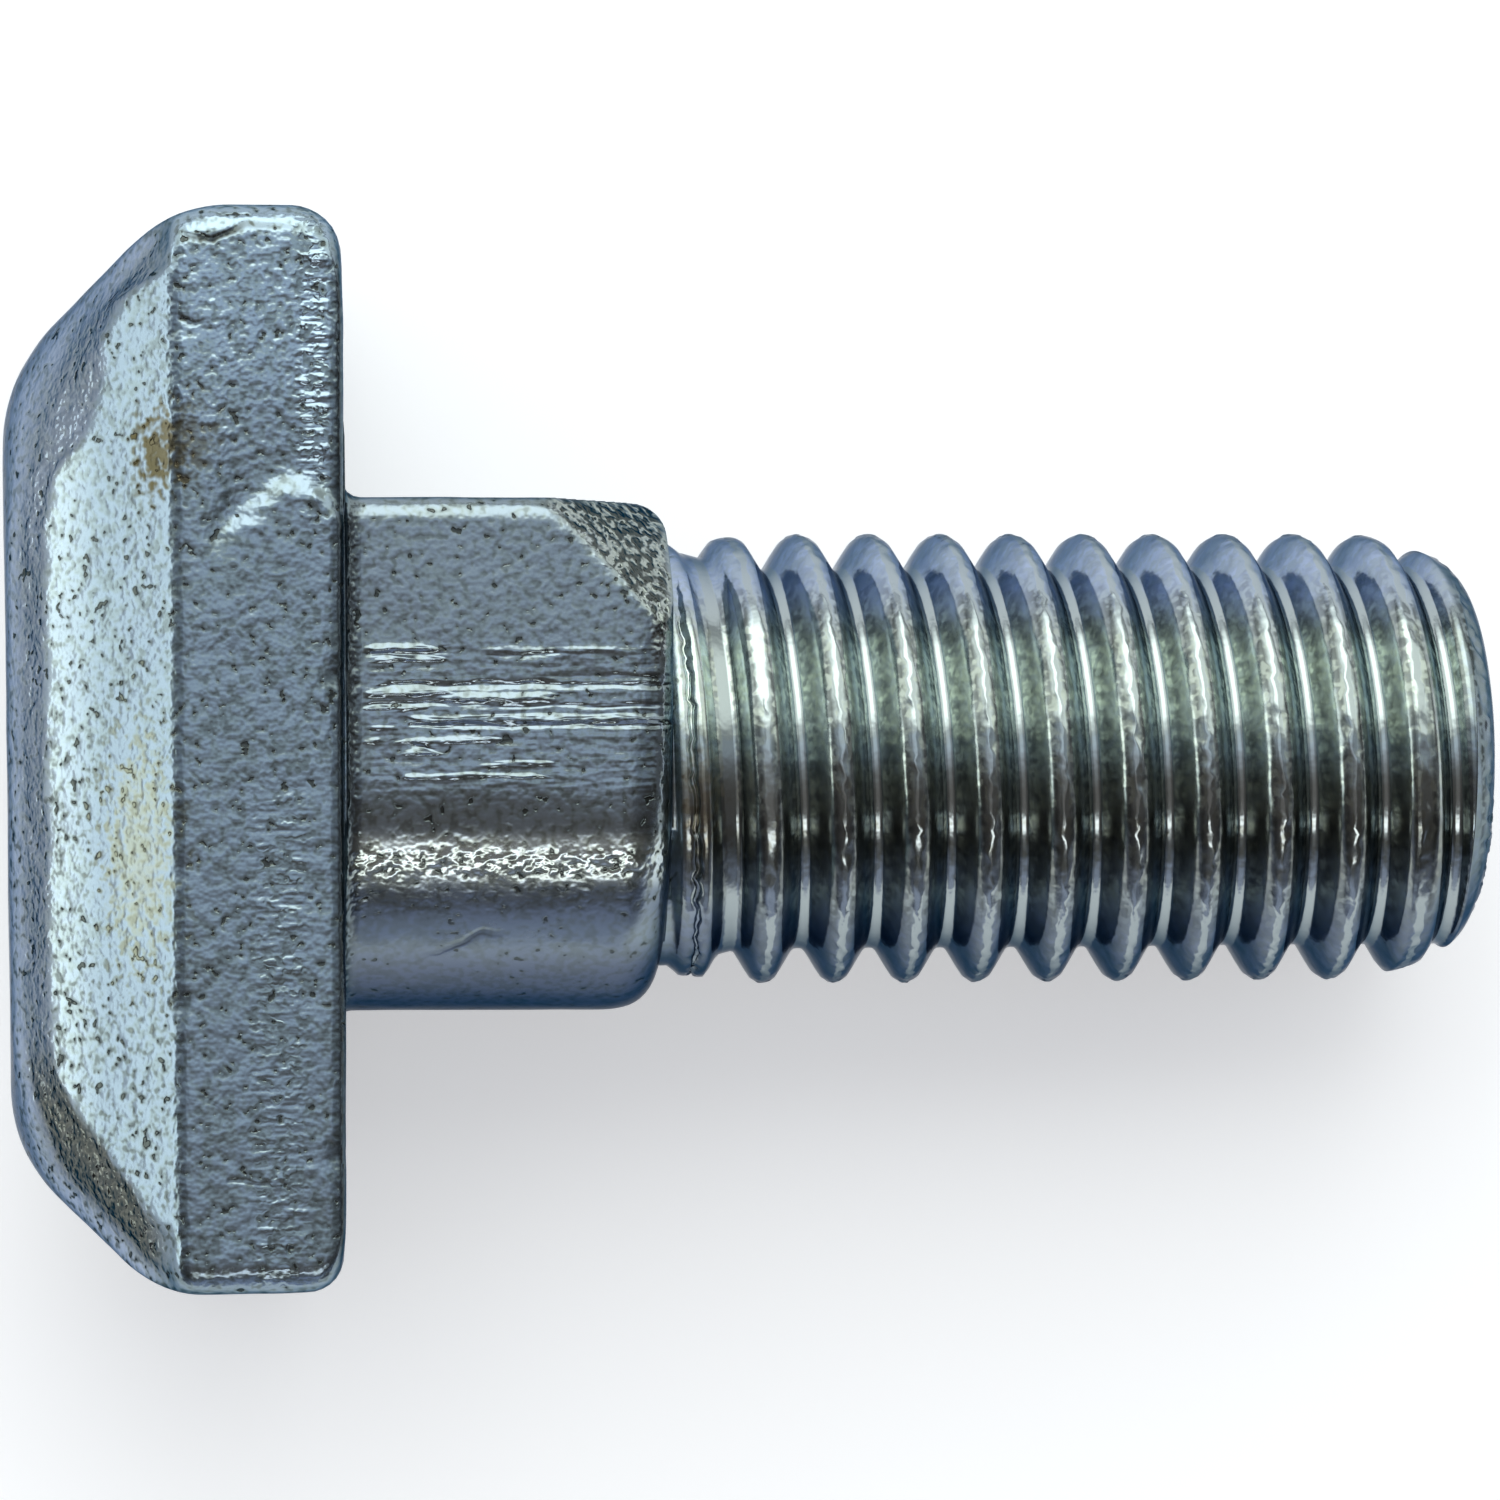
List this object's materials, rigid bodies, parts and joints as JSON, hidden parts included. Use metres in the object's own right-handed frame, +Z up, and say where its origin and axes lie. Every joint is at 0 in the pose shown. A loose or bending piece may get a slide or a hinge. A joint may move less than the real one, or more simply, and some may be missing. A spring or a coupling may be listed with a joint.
{
  "type": "hammer head bolt",
  "caption": "Headed bolt with an oblong bevelled head, a square neck with two rounded corners and a right-hand threaded shank, lying on its side.",
  "frame": {"origin": "on the ground, under the middle of the bolt's footprint as it lies on its side", "axes": "+X from the head towards the tip, level; +Y along the head's long side, towards its rounder end; +Z up. The bolt's own axis dips 2.96 degrees towards the tip, because the head is deeper than the thread."},
  "size_m": [0.0256, 0.018, 0.0098],
  "materials": {
    "zinc_plated_steel": "zinc-plated forged and thread-rolled steel, satin, pitted on the head, with tool marks on the neck and bright thread crests"
  },
  "bodies": {
    "root": {"hammer_head_bolt": "zinc_plated_steel"}
  },
  "joints": []
}
